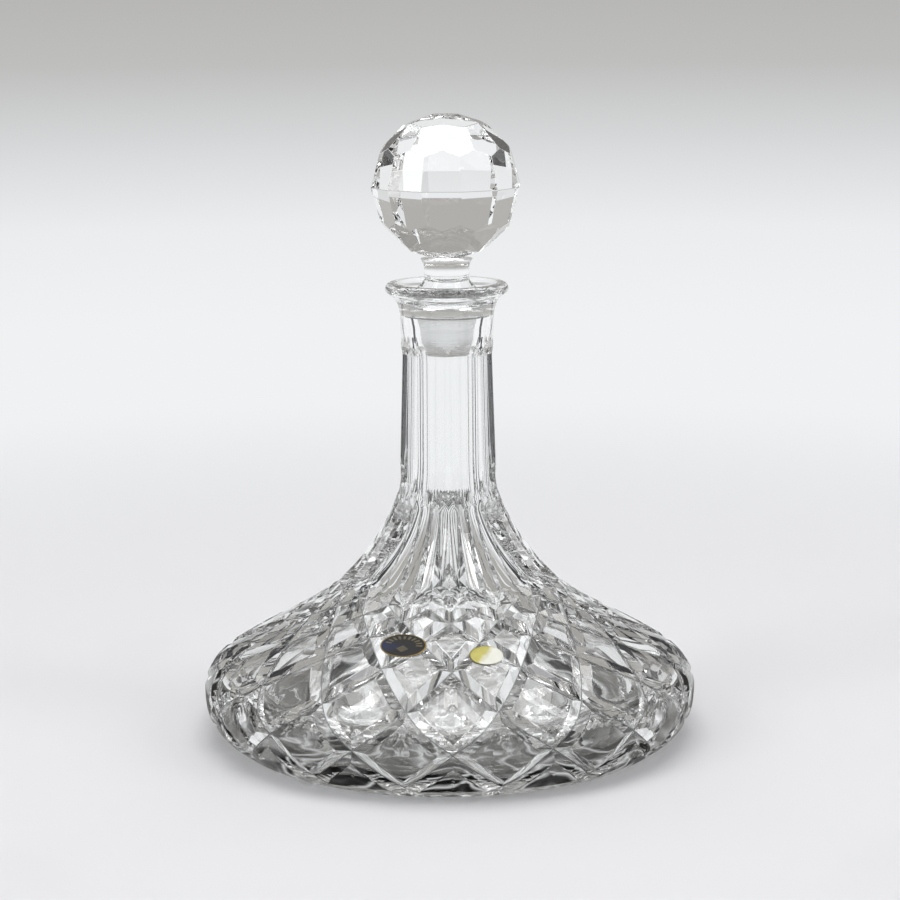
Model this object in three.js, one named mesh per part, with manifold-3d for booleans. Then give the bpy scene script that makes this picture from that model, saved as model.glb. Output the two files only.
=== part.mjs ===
// A ship's decanter of cut crystal: a wide, low body covered in diamond mitre cuts, a fluted
// shoulder, a long panelled neck with a flared lip, and a faceted ball stopper that lifts out.
// Two small foil labels are stuck on the front of the body.
// Millimetres, +Z up. The front faces -Y. The origin is the middle of the base, on the table.

import * as THREE from 'three';
import { mergeVertices } from 'three/addons/utils/BufferGeometryUtils.js';
import Module from 'manifold-3d';

const wasm = await Module();
wasm.setup();

// Outside of the body
const bodyRadius = 97.5;
const bellyHeight = 19.3;
const footRadius = 87;
const footRise = 6;
const footFullness = 0.9;
const bellyDrop = 8;
const bellyTurn = 10.2;
const shoulderRadius = 60;
const shoulderHeight = 48;
const shoulderFall = THREE.MathUtils.degToRad(30.4);
const shoulderReach = 30;
const shoulderSweep = 37.7;

// Neck and lip
const neckFootRadius = 18.65;
const neckFootHeight = 101.8;
const neckFootEase = 5;
const neckLength = 60.2;
const neckWaistRadius = 17.1;
const neckWaistRise = 11;
const neckWaistDrop = 22;
const neckTopRadius = 18.2;
const lipRadius = 24;
const lipEdge = 2.2;
const lipRise = 16.9;
const lipEase = 7;
const lipUnderside = THREE.MathUtils.degToRad(-60);
const lipRings = 8;

// Diamond cuts: crossings stand on seven rows, from the flutes down to the foot
const groovesEachWay = 16;
const rowHeights = [60.1, 56, 50.4, 43, 32.6, 18.5, 3.2];
const grooveHalfWidth = 3.9;
const grooveDepth = 1.5;

// Flutes of the shoulder, two for each groove: their top end is this far below the neck
const fluteMargin = 3.4;
const fluteDepthShare = 0.36;
const fluteSwell = 2.2;
const fluteRings = 9;

// Flat panels of the neck, ground with a wheel that runs out at both ends
const panelCount = 8;
const panelTopMargin = 12;
const panelReachTop = 16.1;
const panelReachBottom = 17.5;
const panelWheelRadius = 12;
const panelRings = 6;
const panelRunOutRings = 3;

// Underside: a flat ring to stand on, round a shallow hollow cut with a star
const standingRingWidth = 13;
const baseHollow = 1.2;
const starMargin = 8;
const starDepth = 1.4;
const starHub = 9;

// Inside of the body
const wall = 10;
const floorThickness = 5;
const floorRadius = 72;
const floorFullness = 4;
const floorRise = 3;
const cavityTurn = 5.1;
const cavityNeckRise = 6.2;
const cavityEase = 26;
const boreRadius = 10;
const mouthRadius = 19.5;

// Stopper: a ground plug that flares at the top, a polished collar in the mouth, a shank and the
// ball. Depths are below the top of the lip
const seatGap = 0.3;
const plugEndClearance = 0.3;
const plugEndDepth = 27.1;
const plugWaistSwell = 0.9;
const plugWaistDepth = 19.5;
const plugTopSwell = 2.3;
const plugTopDepth = 12.4;
const collarRadius = 14.1;
const collarFootDepth = 11.8;
const collarDepth = 4.9;
const shankRadius = 8.8;
const shankFootRise = 1.1;
const shankLength = 7.2;
const shankFlare = 0.9;
const shankFlareLength = 3.6;
const ballSeat = 1.4;
const ballTurn = THREE.MathUtils.degToRad(-4);
const facetReach = 27.5;

// Rows of ball facets: how far above the equator, how many, and turned by what part of a facet
const facetRows = [
  { tilt: 15, count: 12, turn: 0 },
  { tilt: 44, count: 12, turn: 0.5 },
  { tilt: 70, count: 6, turn: 0 },
];

// Foil labels: size, thickness, and place in half pitches round and rows down
const foil = 0.3;
const foilGap = 0.25;
const darkLabel = { width: 18, height: 11.6, step: -1.56, row: 2.27 };
const goldLabel = { width: 13, height: 10, step: 1.05, row: 2.63 };

// Fineness of the round shapes
const latheSides = 48;
const curveSteps = 7;
const outlineSteps = 120;
const labelSides = 48;
const overcut = 1;

// Heights that follow from the sizes above
const neckTopHeight = neckFootHeight + neckLength;
const lipHeight = neckTopHeight + lipRise;
const fluteTop = neckFootHeight - fluteMargin;
const panelTop = neckTopHeight - panelTopMargin;
const panelBottom = neckFootHeight;
const plugEndHeight = lipHeight - plugEndDepth;
const plugEndRadius = boreRadius - plugEndClearance;
const shankTopHeight = lipHeight + shankFootRise + shankLength;
const ballHeight = shankTopHeight + ballSeat + facetReach;

const halfPitch = Math.PI / groovesEachWay;
const lastRow = rowHeights.length - 1;
const ringPoints = groovesEachWay * 4;

// The outline of the uncut body, foot to lip, as radius and height
const fall = new THREE.Vector2(-Math.cos(shoulderFall), Math.sin(shoulderFall));
const shoulder = new THREE.Vector2(shoulderRadius, shoulderHeight);

function bodyOutline() {
  const path = new THREE.Path();
  const overShoulder = shoulder.clone().addScaledVector(fall, -shoulderReach);
  const underShoulder = shoulder.clone().addScaledVector(fall, shoulderSweep);
  path.moveTo(footRadius, 0);
  path.bezierCurveTo(
    bodyRadius - footFullness, footRise, bodyRadius, bellyHeight - bellyDrop, bodyRadius, bellyHeight);
  path.bezierCurveTo(
    bodyRadius, bellyHeight + bellyTurn, overShoulder.x, overShoulder.y, shoulder.x, shoulder.y);
  path.bezierCurveTo(
    underShoulder.x, underShoulder.y, neckFootRadius, neckFootHeight - neckFootEase,
    neckFootRadius, neckFootHeight);
  path.bezierCurveTo(
    neckFootRadius, neckFootHeight + neckWaistRise, neckWaistRadius, neckTopHeight - neckWaistDrop,
    neckTopRadius, neckTopHeight);

  const lipCentre = new THREE.Vector2(lipRadius - lipEdge, lipHeight - lipEdge);
  const outward = new THREE.Vector2(Math.cos(lipUnderside), Math.sin(lipUnderside));
  const lipStart = lipCentre.clone().addScaledVector(outward, lipEdge);
  const underLip = lipStart.clone().add(new THREE.Vector2(outward.y, -outward.x).multiplyScalar(2 * lipEdge));
  path.bezierCurveTo(
    neckTopRadius, neckTopHeight + lipEase, underLip.x, underLip.y, lipStart.x, lipStart.y);
  path.absarc(lipCentre.x, lipCentre.y, lipEdge, lipUnderside, Math.PI / 2);
  return path;
}

const outline = bodyOutline().getPoints(outlineSteps);

// Radius of the uncut body at a height, and the way its surface faces there
function radiusAt(height) {
  let i = 1;
  while (i < outline.length - 1 && outline[i].y < height) i += 1;
  const [low, high] = [outline[i - 1], outline[i]];
  const share = THREE.MathUtils.clamp((height - low.y) / Math.max(high.y - low.y, 1e-9), 0, 1);
  return THREE.MathUtils.lerp(low.x, high.x, share);
}

function facingAt(height) {
  const reach = 0.4;
  const low = Math.max(height - reach, 0);
  const high = Math.min(height + reach, lipHeight);
  const along = new THREE.Vector2(radiusAt(high) - radiusAt(low), high - low).normalize();
  return new THREE.Vector2(along.y, -along.x);
}

// A point at a radius and height, a number of half pitches round from the front
function roundPoint(step, radius, height) {
  const angle = step * halfPitch;
  return new THREE.Vector3(radius * Math.sin(angle), -radius * Math.cos(angle), height);
}

// A point of the body's skin, cut to a depth below the uncut surface
function skinPoint(step, height, depth) {
  const facing = facingAt(height);
  return roundPoint(step, radiusAt(height) - depth * facing.x, height - depth * facing.y);
}

// Height of a place between the rows, and the share of a lozenge that its groove takes there
const rowCurve = new THREE.CubicInterpolant(rowHeights.map((_, row) => row), rowHeights, 1);

function heightAt(row) {
  return rowCurve.evaluate(THREE.MathUtils.clamp(row, 0, lastRow))[0];
}

function inset(row) {
  const above = THREE.MathUtils.clamp(row - 0.5, 0, lastRow - 1);
  const [top, bottom] = [heightAt(above), heightAt(above + 1)];
  const down = Math.hypot(radiusAt(top) - radiusAt(bottom), top - bottom);
  const across = radiusAt(heightAt(row)) * halfPitch;
  return Math.min(grooveHalfWidth * Math.hypot(across, down) / (across * down), 0.8);
}

// The skin's triangles are gathered as loose points and joined at the end
class Skin {
  constructor() {
    this.points = [];
  }

  triangle(a, b, c) {
    for (const point of [a, b, c]) this.points.push(point.x, point.y, point.z);
  }

  // Two rings of the same number of points, the upper one first
  band(upper, lower) {
    for (let i = 0; i < upper.length; i += 1) {
      const next = (i + 1) % upper.length;
      this.triangle(upper[i], lower[i], lower[next]);
      this.triangle(upper[i], lower[next], upper[next]);
    }
  }

  fan(centre, ring) {
    ring.forEach((point, i) => this.triangle(centre, point, ring[(i + 1) % ring.length]));
  }

  geometry() {
    const loose = new THREE.BufferGeometry();
    loose.setAttribute('position', new THREE.Float32BufferAttribute(this.points, 3));
    return mergeVertices(loose, 1e-3);
  }
}

// A ring of the skin: four points to each groove, the first over a crossing of an odd step
function ring(make) {
  return Array.from({ length: ringPoints }, (_, i) => make(1 + i / 2, i % 4));
}

// The edge of the diamond belt on its first or last row
function beltEdge(row) {
  const land = inset(row);
  const shift = [0, land - 0.5, 0, 0.5 - land];
  return ring((step, kind) => (
    skinPoint(step + shift[kind], heightAt(row), kind === 0 ? grooveDepth : 0)));
}

// One lozenge of the belt: a land in the middle, and one face of each groove round it
function lozenge(skin, step, row) {
  const corners = [
    [0, -1, inset(Math.max(row - 1, 0))],
    [-1, 0, inset(row)],
    [0, 1, inset(Math.min(row + 1, lastRow))],
    [1, 0, inset(row)],
  ];
  const land = [];
  const valley = [];
  corners.forEach(([across, down, cut], i) => {
    const [nextAcross, nextDown, nextCut] = corners[(i + 1) % 4];
    const here = [across * (1 - cut), down * (1 - cut)];
    const there = [nextAcross * (1 - nextCut), nextDown * (1 - nextCut)];
    land.push(here, [(here[0] + there[0]) / 2, (here[1] + there[1]) / 2]);
    valley.push([across, down], [(across + nextAcross) / 2, (down + nextDown) / 2]);
  });
  const place = ([across, down], depth) => skinPoint(step + across, heightAt(row + down), depth);
  const centre = place([0, 0], 0);
  for (let i = 0; i < 8; i += 1) {
    const lowerHalf = i >= 2 && i <= 5;
    if ((row === 0 && !lowerHalf) || (row === lastRow && lowerHalf)) continue;
    const next = (i + 1) % 8;
    const [landHere, landNext] = [place(land[i], 0), place(land[next], 0)];
    const [valleyHere, valleyNext] = [place(valley[i], grooveDepth), place(valley[next], grooveDepth)];
    skin.triangle(centre, landHere, landNext);
    skin.triangle(landHere, valleyHere, valleyNext);
    skin.triangle(landHere, valleyNext, landNext);
  }
}

// Flutes: leaf-shaped V cuts, deepest in the middle of their run, with sharp ridges between
function fluteRing(share) {
  const height = THREE.MathUtils.lerp(rowHeights[0], fluteTop, share);
  const swell = Math.min(1, fluteSwell * Math.sin(Math.PI * share));
  const depth = fluteDepthShare * radiusAt(height) * halfPitch * swell;
  return ring((step, kind) => skinPoint(step, height, kind % 2 === 0 ? depth : 0));
}

// The neck: round, with flat panels ground into it
function panelReach(height) {
  const share = (height - panelBottom) / (panelTop - panelBottom);
  const past = Math.max(height - panelTop, panelBottom - height, 0);
  return THREE.MathUtils.lerp(panelReachBottom, panelReachTop, THREE.MathUtils.clamp(share, 0, 1))
    + past * past / (2 * panelWheelRadius);
}

function neckRing(height) {
  const panelTurn = 2 * Math.PI / panelCount;
  return ring((step) => {
    const angle = step * halfPitch;
    const off = angle - (Math.floor(angle / panelTurn) + 0.5) * panelTurn;
    return roundPoint(step, Math.min(radiusAt(height), panelReach(height) / Math.cos(off)), height);
  });
}

function plainRing(radius, height) {
  return ring((step) => roundPoint(step, radius, height));
}

// The whole outside of the body, still solid inside
function outerSkin() {
  const skin = new Skin();
  const upper = [
    plainRing(collarRadius, lipHeight),
    plainRing(lipRadius - lipEdge, lipHeight),
  ];
  for (let i = lipRings; i > 0; i -= 1) {
    const height = neckTopHeight + lipRise * Math.sin(Math.PI / 2 * (i - 0.2) / lipRings);
    upper.push(plainRing(radiusAt(height), height));
  }
  for (let i = 0; i < panelRunOutRings; i += 1) {
    upper.push(neckRing(THREE.MathUtils.lerp(neckTopHeight, panelTop, i / panelRunOutRings)));
  }
  for (let i = 0; i <= panelRings; i += 1) {
    upper.push(neckRing(THREE.MathUtils.lerp(panelTop, panelBottom, i / panelRings)));
  }
  for (let i = fluteRings; i > 0; i -= 1) upper.push(fluteRing(i / fluteRings));
  upper.push(beltEdge(0));

  const starRadius = footRadius - standingRingWidth - starMargin;
  const star = (radius, cut) => ring((step, kind) => (
    roundPoint(step, radius, baseHollow + (kind % 2 === 0 ? cut : 0))));
  const lower = [
    beltEdge(lastRow),
    plainRing(footRadius, 0),
    plainRing(footRadius - standingRingWidth, 0),
    star(starRadius, 0),
    star((starRadius + starHub) / 2, starDepth),
    star(starHub, starDepth / 2),
  ];

  for (const stack of [upper, lower]) {
    for (let i = 1; i < stack.length; i += 1) skin.band(stack[i - 1], stack[i]);
  }
  skin.fan(new THREE.Vector3(0, 0, lipHeight), upper[0]);
  skin.fan(new THREE.Vector3(0, 0, baseHollow + starDepth), lower.at(-1).toReversed());
  for (let row = 0; row <= lastRow; row += 1) {
    for (let i = 0; i < groovesEachWay; i += 1) lozenge(skin, 2 * i + (row % 2), row);
  }
  return skin.geometry();
}

// Solids for cutting and joining
function solid(geometry) {
  const bare = geometry.clone();
  bare.deleteAttribute('normal');
  bare.deleteAttribute('uv');
  const closed = mergeVertices(bare, 1e-4);
  return new wasm.Manifold(new wasm.Mesh({
    numProp: 3,
    vertProperties: new Float32Array(closed.attributes.position.array),
    triVerts: new Uint32Array(closed.index.array),
  }));
}

function shape(manifold) {
  const mesh = manifold.getMesh();
  const geometry = new THREE.BufferGeometry();
  geometry.setAttribute('position', new THREE.BufferAttribute(mesh.vertProperties, 3));
  geometry.setIndex(new THREE.BufferAttribute(mesh.triVerts, 1));
  return geometry;
}

// A solid of revolution round the Z axis, from an outline that starts and ends on the axis
function turned(points) {
  return new THREE.LatheGeometry(points, latheSides).rotateX(Math.PI / 2);
}

// The stopper's outline where it sits in the neck, and with a gap the socket round it
function stopperOutline(gap) {
  return [
    new THREE.Vector2(plugEndRadius + gap, plugEndHeight),
    new THREE.Vector2(plugEndRadius + plugWaistSwell + gap, lipHeight - plugWaistDepth - gap),
    new THREE.Vector2(plugEndRadius + plugTopSwell + gap, lipHeight - plugTopDepth - gap),
    new THREE.Vector2(collarRadius + gap, lipHeight - collarFootDepth - gap),
    new THREE.Vector2(collarRadius + gap, lipHeight - collarDepth - gap),
  ];
}

// The hollow: a wide low room, a narrowing shoulder, the bore, the socket and the flaring mouth
function cavity() {
  const path = new THREE.Path();
  const inward = new THREE.Vector2(-fall.y, fall.x);
  const innerShoulder = shoulder.clone().addScaledVector(inward, wall);
  const overShoulder = innerShoulder.clone().addScaledVector(fall, -shoulderReach);
  const underShoulder = innerShoulder.clone().addScaledVector(fall, shoulderSweep);
  const belly = bodyRadius - wall;
  const boreFoot = neckFootHeight + cavityNeckRise;
  path.moveTo(floorRadius, floorThickness);
  path.bezierCurveTo(
    (floorRadius + belly) / 2 + floorFullness, floorThickness, belly, floorThickness + floorRise,
    belly, bellyHeight);
  path.bezierCurveTo(
    belly, bellyHeight + cavityTurn, overShoulder.x, overShoulder.y,
    innerShoulder.x, innerShoulder.y);
  path.bezierCurveTo(
    underShoulder.x, underShoulder.y, boreRadius, boreFoot - cavityEase, boreRadius, boreFoot);
  const room = path.getPoints(curveSteps);
  return turned([
    new THREE.Vector2(0, floorThickness),
    ...room,
    new THREE.Vector2(boreRadius, plugEndHeight - 2 * seatGap),
    ...stopperOutline(seatGap),
    new THREE.Vector2(mouthRadius, lipHeight),
    new THREE.Vector2(mouthRadius + overcut, lipHeight + overcut),
    new THREE.Vector2(0, lipHeight + overcut),
  ]);
}

function decanterBody() {
  return shape(solid(outerSkin()).subtract(solid(cavity())));
}

// The ball: a block with a flat ground off for each facet
function facetedBall() {
  const size = 3 * facetReach;
  let ball = solid(new THREE.BoxGeometry(size, size, size));
  const grind = (tilt, turn) => {
    const wheel = new THREE.BoxGeometry(size, 2 * size, 2 * size)
      .translate(facetReach + size / 2, 0, 0)
      .rotateY(-tilt)
      .rotateZ(turn);
    ball = ball.subtract(solid(wheel));
  };
  grind(Math.PI / 2, 0);
  grind(-Math.PI / 2, 0);
  for (const { tilt, count, turn } of facetRows) {
    for (let i = 0; i < count; i += 1) {
      const angle = (i + turn) * 2 * Math.PI / count + ballTurn;
      grind(THREE.MathUtils.degToRad(tilt), angle);
      grind(THREE.MathUtils.degToRad(-tilt), angle);
    }
  }
  return ball.translate(0, 0, ballHeight);
}

function stopper() {
  const stem = turned([
    new THREE.Vector2(0, plugEndHeight),
    ...stopperOutline(0),
    new THREE.Vector2(shankRadius, lipHeight + shankFootRise),
    new THREE.Vector2(shankRadius, shankTopHeight - shankFlareLength),
    new THREE.Vector2(shankRadius + shankFlare / 3, shankTopHeight - shankFlareLength / 3),
    new THREE.Vector2(shankRadius + shankFlare, shankTopHeight + overcut),
    new THREE.Vector2(0, ballHeight - facetReach / 2),
  ]);
  return shape(facetedBall().add(solid(stem)));
}

// An oval foil label, laid flat against the body
function label({ width, height, step, row }) {
  const centre = skinPoint(step, heightAt(row), 0);
  const facing = facingAt(heightAt(row));
  const out = roundPoint(step, facing.x, facing.y);
  const across = roundPoint(step + groovesEachWay / 2, 1, 0);
  const up = new THREE.Vector3().crossVectors(out, across);
  const oval = new THREE.Shape().absellipse(0, 0, width / 2, height / 2, 0, 2 * Math.PI);
  const plate = new THREE.ExtrudeGeometry(oval, {
    depth: foil, bevelEnabled: false, curveSegments: labelSides / 2,
  });
  plate.translate(0, 0, foilGap);
  plate.applyMatrix4(new THREE.Matrix4().makeBasis(across, up, out).setPosition(centre));
  return plate;
}

// The parts and their finishes
const decanter = new THREE.Group();

function addPart(name, geometry, finish) {
  const mesh = new THREE.Mesh(geometry, new THREE.MeshStandardMaterial(finish));
  mesh.name = name;
  decanter.add(mesh);
}

const crystal = { color: 0xf2f5f6, roughness: 0.03, metalness: 0 };
addPart('decanter_body', decanterBody(), crystal);
addPart('stopper', stopper(), crystal);
addPart('oval_label', label(darkLabel), { color: 0x14140f, roughness: 0.35, metalness: 0.4 });
addPart('gold_label', label(goldLabel), { color: 0xd8b64a, roughness: 0.3, metalness: 0.9 });

export default decanter;
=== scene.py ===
# %% [markdown]
# A ship's decanter in cut crystal, with its ball stopper and two small foil labels.
# The CAD frame gives the pieces at their real size. This script dresses them: it models each piece
# again as a fine mesh, because cut glass is all about crisp edges between smooth faces, and it
# gives them glass and foil finishes in a pale studio. The decanter's sizes are in millimetres until
# a mesh is made, and the studio's are in metres.

# %% Load the frame
import math
from bisect import bisect_left

import bmesh
import bpy
from mathutils import Matrix, Vector, noise


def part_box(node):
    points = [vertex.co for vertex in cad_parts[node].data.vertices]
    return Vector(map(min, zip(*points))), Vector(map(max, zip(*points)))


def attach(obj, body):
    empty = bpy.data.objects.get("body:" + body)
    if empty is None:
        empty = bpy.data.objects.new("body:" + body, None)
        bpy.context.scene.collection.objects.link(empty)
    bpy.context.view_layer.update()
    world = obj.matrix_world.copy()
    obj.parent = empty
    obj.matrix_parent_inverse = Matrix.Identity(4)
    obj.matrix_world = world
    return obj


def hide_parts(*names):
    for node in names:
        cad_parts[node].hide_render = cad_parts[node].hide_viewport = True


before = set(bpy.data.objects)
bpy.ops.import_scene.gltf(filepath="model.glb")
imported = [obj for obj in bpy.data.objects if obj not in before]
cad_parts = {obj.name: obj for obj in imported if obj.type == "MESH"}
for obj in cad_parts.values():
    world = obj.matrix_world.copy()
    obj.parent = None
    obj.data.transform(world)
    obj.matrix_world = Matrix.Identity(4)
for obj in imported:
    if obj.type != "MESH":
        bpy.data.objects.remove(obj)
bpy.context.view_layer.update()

scene = bpy.context.scene
mm = 0.001
print("pieces in the frame:", sorted(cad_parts))

# %% [markdown]
# A finish is a tree of nodes, which could be wired by hand in the shader editor. In code it is
# easier to read as sums. So a Wire holds one output of a node, and adding or multiplying wires
# adds the Math nodes that do it.

# %% Wires that add up like numbers
class Wire:
    def __init__(self, finish, socket):
        self.finish = finish
        self.socket = socket

    def maths(self, operation, *values):
        return self.finish.node("ShaderNodeMath", {"operation": operation}, dict(enumerate(values)))

    def __add__(self, other):
        return self.maths("ADD", self, other)

    def __radd__(self, other):
        return self.maths("ADD", other, self)

    def __sub__(self, other):
        return self.maths("SUBTRACT", self, other)

    def __rsub__(self, other):
        return self.maths("SUBTRACT", other, self)

    def __mul__(self, other):
        return self.maths("MULTIPLY", self, other)

    def __truediv__(self, other):
        return self.maths("DIVIDE", self, other)

    def __pow__(self, other):
        return self.maths("POWER", self, other)

    def __abs__(self):
        return self.maths("ABSOLUTE", self)

    def clamped(self):
        held = self.maths("ADD", self, 0)
        held.socket.node.use_clamp = True
        return held

    def over(self, other):
        return self.maths("GREATER_THAN", self, other)

    def most(self, other):
        return self.maths("MAXIMUM", self, other)


# %% [markdown]
# A Finish is one material under way. Its node() method adds any node, with its settings first and
# then what goes into its sockets, so the trees below can be read from the inside out. A Mix node has
# sockets for every kind of value: its colours go in at 6 and 7 and come out at 2.

# %% Materials under way
class Finish:
    def __init__(self, owner):
        owner.use_nodes = True
        self.tree = owner.node_tree
        self.shader = self.tree.nodes["Principled BSDF"]

    def feed(self, socket, value):
        if isinstance(value, Wire):
            self.tree.links.new(value.socket, socket)
        else:
            socket.default_value = value

    def node(self, kind, settings=None, sockets=None, output=0):
        made = self.tree.nodes.new(kind)
        for name, value in (settings or {}).items():
            if name == "stops":
                self.set_stops(made.color_ramp, value)
            else:
                setattr(made, name, value)
        for name, value in (sockets or {}).items():
            self.feed(made.inputs[name], value)
        return Wire(self, made.outputs[output])

    def set_stops(self, ramp, stops):
        while len(ramp.elements) < len(stops):
            ramp.elements.new(1.0)
        for element, (place, colour) in zip(ramp.elements, stops):
            element.position = place
            element.color = (*colour, 1)

    def set(self, **sockets):
        for name, value in sockets.items():
            self.feed(self.shader.inputs[name.replace("_", " ")], value)

    def mix(self, share, first, second):
        return self.node("ShaderNodeMix", {"data_type": "RGBA"}, {0: share, 6: first, 7: second}, 2)

    def noise(self, place, scale, detail, roughness=0.5):
        sockets = {"Vector": place, "Scale": scale, "Detail": detail, "Roughness": roughness}
        return self.node("ShaderNodeTexNoise", None, sockets)

    def place(self, kind="Object"):
        return self.node("ShaderNodeTexCoord", None, None, kind)

    def bump(self, height, distance):
        return self.node("ShaderNodeBump", None, {"Height": height, "Distance": distance})


def new_material(name):
    material = bpy.data.materials.new(name)
    return material, Finish(material)


# %% [markdown]
# The camera stands where the photographer's did: 0.91 m in front, 0.29 m above the foot, with a
# long lens that flattens the perspective. It could be aimed with a Track To constraint, but plain
# turns keep the lean of less than half a degree, and the look from just beside the front crossing.

# %% Camera
camera_distance = 910.6 * mm
camera_height = 289.4 * mm
camera_pitch = math.radians(10.99)
camera_roll = math.radians(-0.42)
camera_turn = math.radians(-0.64)
camera_aside = 0.8 * mm
lens_length = 94.3
film_width = 36


def placed(name, data):
    made = bpy.data.objects.new(name, data)
    scene.collection.objects.link(made)
    return made


camera_data = bpy.data.cameras.new("camera")
camera_data.lens = lens_length
camera_data.sensor_width = film_width
camera = placed("camera", camera_data)
camera.matrix_world = (
    Matrix.Rotation(camera_turn, 4, "Z")
    @ Matrix.Translation((camera_aside, -camera_distance, camera_height))
    @ Matrix.Rotation(math.pi / 2 - camera_pitch, 4, "X")
    @ Matrix.Rotation(camera_roll, 4, "Z"))
scene.camera = camera
print("camera at", [round(v, 3) for v in camera.matrix_world.translation])

# %% [markdown]
# Glass shows its surroundings, so the studio is half of the finish. A plane and a back wall would
# do for one view. Here a round sweep of pale board runs from under the foot up into a wall all the
# way round, so that every side looks the same. Its cove hides the line between floor and wall.

# %% Floor and backdrop in one round sweep
sweep_radius = 1.5
cove_radius = 0.35
wall_height = 1.7
sweep_sides = 96
sweep_steps = 12


def sweep_profile():
    flat = sweep_radius - cove_radius
    profile = [(flat * i / sweep_steps, 0.0) for i in range(1, sweep_steps + 1)]
    for i in range(1, sweep_steps + 1):
        angle = math.pi / 2 * i / sweep_steps
        profile.append((flat + cove_radius * math.sin(angle), cove_radius * (1 - math.cos(angle))))
    profile.append((sweep_radius, wall_height))
    return profile


def sweep_mesh():
    mesh = bmesh.new()
    middle = mesh.verts.new((0, 0, 0))
    rings = []
    turns = [2 * math.pi * j / sweep_sides for j in range(sweep_sides)]
    for radius, height in sweep_profile():
        rings.append([
            mesh.verts.new((radius * math.cos(t), radius * math.sin(t), height)) for t in turns])
    for j in range(sweep_sides):
        after = (j + 1) % sweep_sides
        mesh.faces.new((middle, rings[0][j], rings[0][after]))
        for low, high in zip(rings, rings[1:]):
            mesh.faces.new((low[j], high[j], high[after], low[after]))
    data = bpy.data.meshes.new("studio_sweep")
    mesh.to_mesh(data)
    mesh.free()
    data.shade_smooth()
    return data


sweep = placed("studio_sweep", sweep_mesh())
print("studio sweep:", len(sweep.data.polygons), "faces")

# %% [markdown]
# The board is white low down and falls to a warm grey higher up, as the backdrop does in the
# photograph. Lamps could make that fall, but they would also light the decanter unevenly. So the
# board glows with its own tone where it is far off, and near the decanter it is plain lit paint,
# which takes a soft shadow. A Light Path node tells what the camera sees from what the glass and the
# foil pass on or mirror, so that each of the two can have its own fade.

# %% Tones of the board
board_tone = (0.70, 0.70, 0.71, 1)
board_roughness = 0.65
wall_tones = [
    (0.0, (0.87, 0.88, 0.89)), (0.07, (0.83, 0.84, 0.85)), (0.13, (0.71, 0.72, 0.73)),
    (0.22, (0.52, 0.52, 0.515)), (0.4, (0.40, 0.39, 0.37)), (1.0, (0.36, 0.35, 0.33))]
through_glass_gain = 1.08
fade_from = 0.22
fade_to = 0.8

board, paint = new_material("pale_board")
paint.set(Roughness=board_roughness)
where = paint.node("ShaderNodeNewGeometry", None, None, "Position")
split = paint.node("ShaderNodeSeparateXYZ", None, {0: where}).socket.node
across, along, height = (Wire(paint, output) for output in split.outputs)
reach = (across ** 2 + along ** 2) ** 0.5
tone = paint.node("ShaderNodeValToRGB", {"stops": wall_tones}, {0: height})

rays = paint.node("ShaderNodeLightPath").socket.node
in_view = Wire(paint, rays.outputs["Is Camera Ray"])
through_glass = Wire(paint, rays.outputs["Is Transmission Ray"])
in_glass = Wire(paint, rays.outputs["Is Glossy Ray"]).most(through_glass)
glow = paint.node("ShaderNodeEmission", None, {
    "Color": tone, "Strength": 1 + through_glass * (through_glass_gain - 1)})
print("tones on the board:", len(wall_tones))

# %% [markdown]
# Clear glass has no tone of its own: it shows what is under and behind it, and on a board that is
# white all over its cuts would vanish. So the glass sees a dark round mat under itself: the flat
# lands look down at it and turn grey, while the faces of the cuts look past it at the white. It
# could be a disc, hidden from the camera. Painted on the board, only for what is passed on or
# mirrored, it needs no gap under the foot, and its edge can be soft.

# %% The mat under the decanter
mat_radius = 0.135
mat_edge = 0.02
mat_tone = (0.10, 0.097, 0.09, 1)
# Right under the foot the mat is painted lighter. This is painted light where the glass shades the
# board.
painted_light_radius = 0.1
painted_light_tone = (0.24, 0.236, 0.22, 1)


def disc(radius):
    return ((radius + mat_edge / 2 - reach) / mat_edge).clamped()


def fade(start, end):
    return paint.node(
        "ShaderNodeMapRange", {"interpolation_type": "SMOOTHSTEP"}, {0: reach, 1: start, 2: end})


# The mat, with painted light under the foot, where the glass throws its shade.
mat = paint.mix(disc(painted_light_radius), mat_tone, painted_light_tone)
paint.set(Base_Color=paint.mix(disc(mat_radius) * in_glass, board_tone, mat))
lit = Wire(paint, paint.shader.outputs[0])
print("mat across:", 2 * mat_radius, "m")

# %% [markdown]
# Cut glass throws bright ripples on what it stands on. They could be traced, but that takes
# thousands of samples. Here they are painted under the foot, and the camera doesn't see them either:
# the borders of Voronoi cells, bent by a noise, make a net of thin bright lines. The last lines
# choose between lit paint and glow, and hand the board its finish.

# %% Ripples of light under the foot
ripple_scale = 40
ripple_width = 0.1
ripple_power = 1.6
ripple_strength = 0.6
ripple_bend = 0.03
bend_scale = 45.0
ripple_radius = 0.1
glass_fade_from = 0.135
glass_fade_to = 0.22

bend = Wire(paint, paint.noise(where, bend_scale, 1.0).socket.node.outputs["Color"])
bent = paint.node("ShaderNodeVectorMath", {"operation": "MULTIPLY_ADD"}, {
    0: bend, 1: (ripple_bend, ripple_bend, 0), 2: where})
from_edge = paint.node("ShaderNodeTexVoronoi", {"feature": "DISTANCE_TO_EDGE"}, {
    "Vector": bent, "Scale": ripple_scale})
bright = ((ripple_width - from_edge) / ripple_width).clamped() ** ripple_power
ripples = bright * ripple_strength * disc(ripple_radius) * in_glass

glowing = (fade(fade_from, fade_to) * in_view).most(
    fade(glass_fade_from, glass_fade_to) * in_glass).most(ripples)
both = paint.node("ShaderNodeMixShader", None, {0: glowing, 1: lit, 2: glow})
paint.tree.links.new(both.socket, paint.tree.nodes["Material Output"].inputs[0])
sweep.data.materials.append(board)
print("nodes in the board's paint:", len(paint.tree.nodes))

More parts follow.
